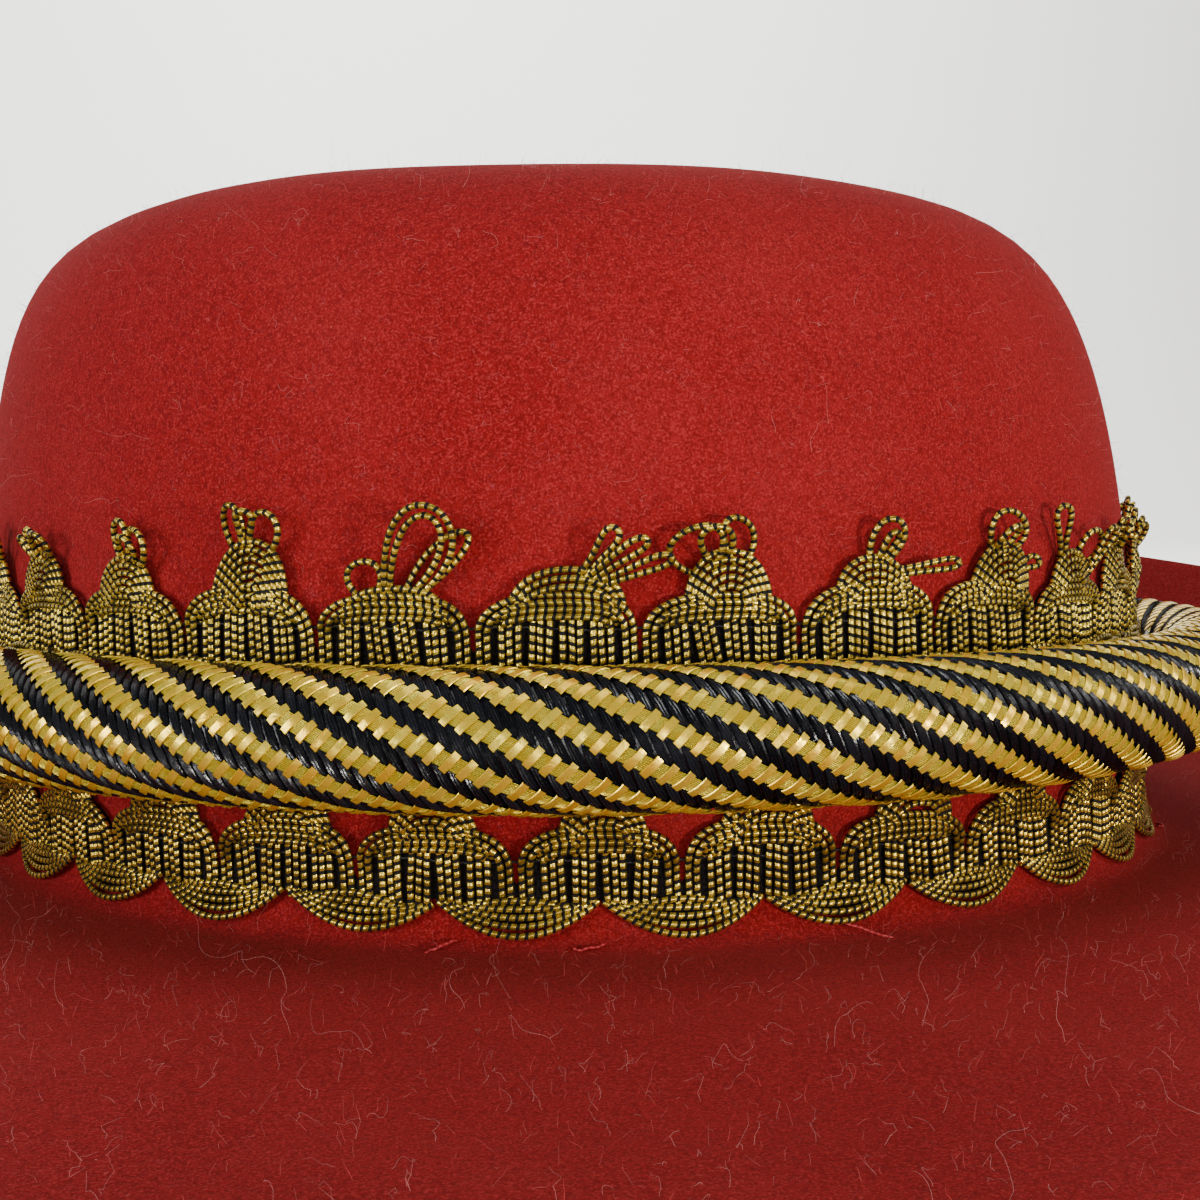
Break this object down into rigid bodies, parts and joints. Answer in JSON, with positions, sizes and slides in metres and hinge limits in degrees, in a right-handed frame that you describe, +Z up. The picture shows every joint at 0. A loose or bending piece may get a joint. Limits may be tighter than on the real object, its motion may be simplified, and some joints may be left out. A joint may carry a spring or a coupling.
{
  "type": "brimmed red felt hat with metallic braid trim",
  "caption": "Red felt hat with a low rounded crown and a wide brim turned up at the back, trimmed round the crown with gold-and-black scroll gimp and a fat braided cord.",
  "frame": {"origin": "centre of the brim's outline, on the surface that the hat lies on", "axes": "+Z up out of the crown's tip, -Y towards the front, +X to the wearer's left; the longest extent runs along Y"},
  "size_m": [0.332, 0.352, 0.0923],
  "materials": {
    "red_felt": "matte fulled wool felt",
    "gimp_braid": "black strands wound with gold metallic strip",
    "cord_braid": "flat gold metallic strips braided with glossy black thread"
  },
  "bodies": {
    "root": {"felt_body": "red_felt", "lower_gimp_braid": "gimp_braid", "upper_gimp_braid": "gimp_braid", "braided_cord": "cord_braid"}
  },
  "joints": []
}
